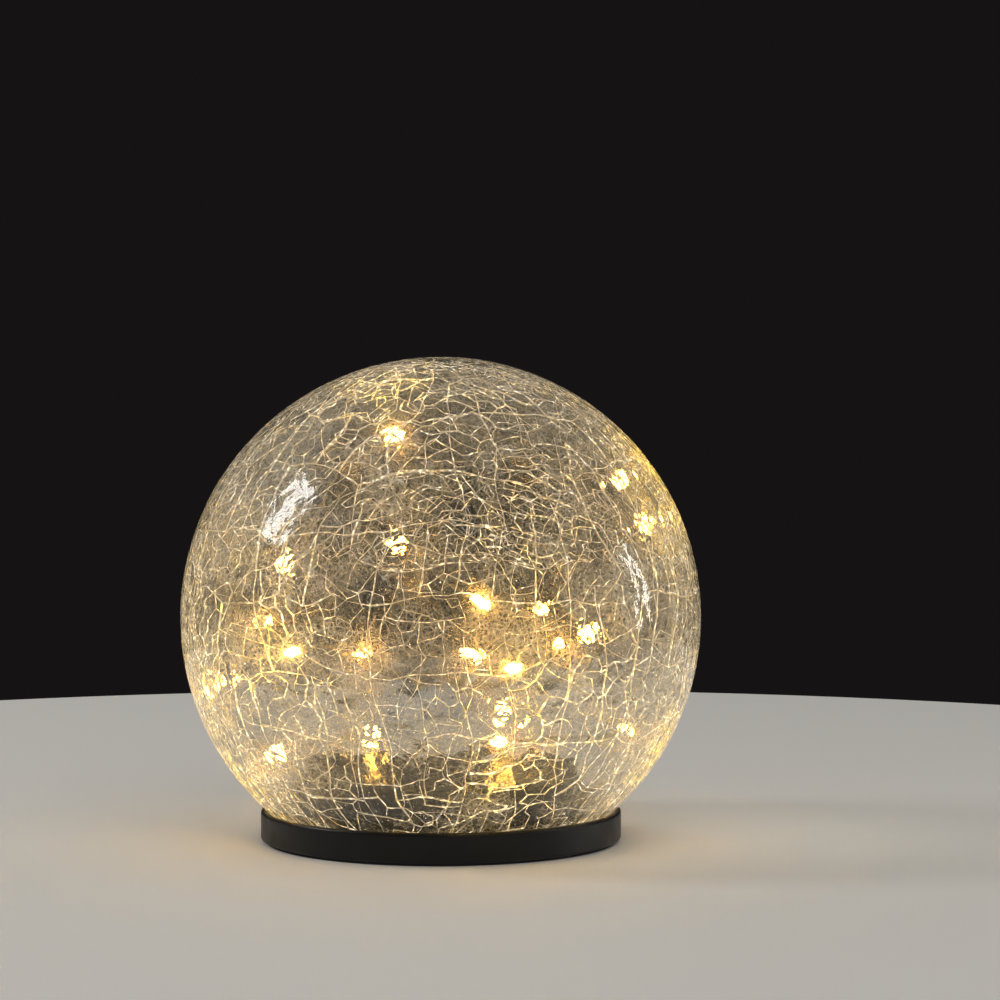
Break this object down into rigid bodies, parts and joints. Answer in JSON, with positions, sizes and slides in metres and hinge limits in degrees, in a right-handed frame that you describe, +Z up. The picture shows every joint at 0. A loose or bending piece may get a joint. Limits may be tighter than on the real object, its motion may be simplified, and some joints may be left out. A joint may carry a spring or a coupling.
{
  "type": "garden globe light",
  "caption": "Decorative garden light: a crackle glass ball on a low round black base, with a string of small LEDs inside over a battery drum.",
  "frame": {"origin": "centre of the footprint on the ground, under the feet", "axes": "+Z up through the ball's centre, -Y the front, where the switch is under the base, +X the door's screwed end"},
  "size_m": [0.15, 0.15, 0.1397],
  "materials": {
    "crackle_glass": "clear blown glass, crazed all over with fine cracks",
    "clear_silicone": "translucent silicone sealant",
    "black_abs": "fine-grained moulded black plastic",
    "black_gloss_abs": "smooth black moulded plastic",
    "dark_abs": "moulded dark grey plastic",
    "foam": "closed-cell foam",
    "screw_steel": "zinc-plated steel",
    "brass_insert": "machined brass",
    "circuit_board": "green solder mask",
    "chip_black": "epoxy",
    "resistor_ceramic": "sintered chip body with tinned ends",
    "capacitor_can": "bare can with a dark band",
    "switch_metal": "pressed tin plate",
    "knob_plastic": "light grey moulded plastic",
    "lead_red": "pvc insulation",
    "lead_black": "pvc insulation",
    "black_rubber": "moulded rubber",
    "enamelled_copper": "lacquered copper wire pair",
    "led_resin": "clear epoxy drop",
    "led_die": "phosphor-coated die, lit warm white",
    "cell_sleeve": "printed shrink sleeve, plain",
    "contact_nickel": "nickel-plated spring steel"
  },
  "bodies": {
    "base": {"base_tray": "black_abs", "battery_cell_1": "cell_sleeve", "battery_cell_2": "cell_sleeve", "battery_cell_3": "cell_sleeve", "battery_cradle": "dark_abs", "battery_drum": "black_gloss_abs", "board_capacitor": "capacitor_can", "board_resistors": "resistor_ceramic", "board_screws": "screw_steel", "contact_bridge_1": "contact_nickel", "contact_bridge_2": "contact_nickel", "contact_negative": "contact_nickel", "contact_positive": "contact_nickel", "contact_spring_1": "contact_nickel", "contact_spring_2": "contact_nickel", "contact_spring_3": "contact_nickel", "door_insert": "brass_insert", "driver_board": "circuit_board", "glass_globe": "crackle_glass", "glass_seal": "clear_silicone", "housing_screws": "screw_steel", "lead_negative": "lead_black", "lead_positive": "lead_red", "led_bulb_01": "led_resin", "led_bulb_02": "led_resin", "led_bulb_03": "led_resin", "led_bulb_04": "led_resin", "led_bulb_05": "led_resin", "led_bulb_06": "led_resin", "led_bulb_07": "led_resin", "led_bulb_08": "led_resin", "led_bulb_09": "led_resin", "led_bulb_10": "led_resin", "led_bulb_11": "led_resin", "led_bulb_12": "led_resin", "led_bulb_13": "led_resin", "led_bulb_14": "led_resin", "led_bulb_15": "led_resin", "led_bulb_16": "led_resin", "led_bulb_17": "led_resin", "led_bulb_18": "led_resin", "led_bulb_19": "led_resin", "led_bulb_20": "led_resin", "led_dies": "led_die", "rubber_foot_1": "black_rubber", "rubber_foot_2": "black_rubber", "rubber_foot_3": "black_rubber", "rubber_foot_4": "black_rubber", "silicone_bead": "clear_silicone", "slide_switch": "switch_metal", "string_wire": "enamelled_copper", "timer_chip": "chip_black", "wire_grommet": "black_rubber"},
    "door": {"battery_door": "black_abs", "door_gasket": "foam", "door_screw": "screw_steel"},
    "switch": {"switch_knob": "knob_plastic"}
  },
  "joints": [
    {"name": "door_hinge", "type": "hinge", "parent": "base", "child": "door", "pos_m": [-0.03165, 0, 0.0008], "axis": [0, 1, 0], "range_deg": [0, 45]},
    {"name": "switch_slide", "type": "slide", "parent": "base", "child": "switch", "axis": [1, 0, 0], "range_m": [0, 0.004]}
  ]
}
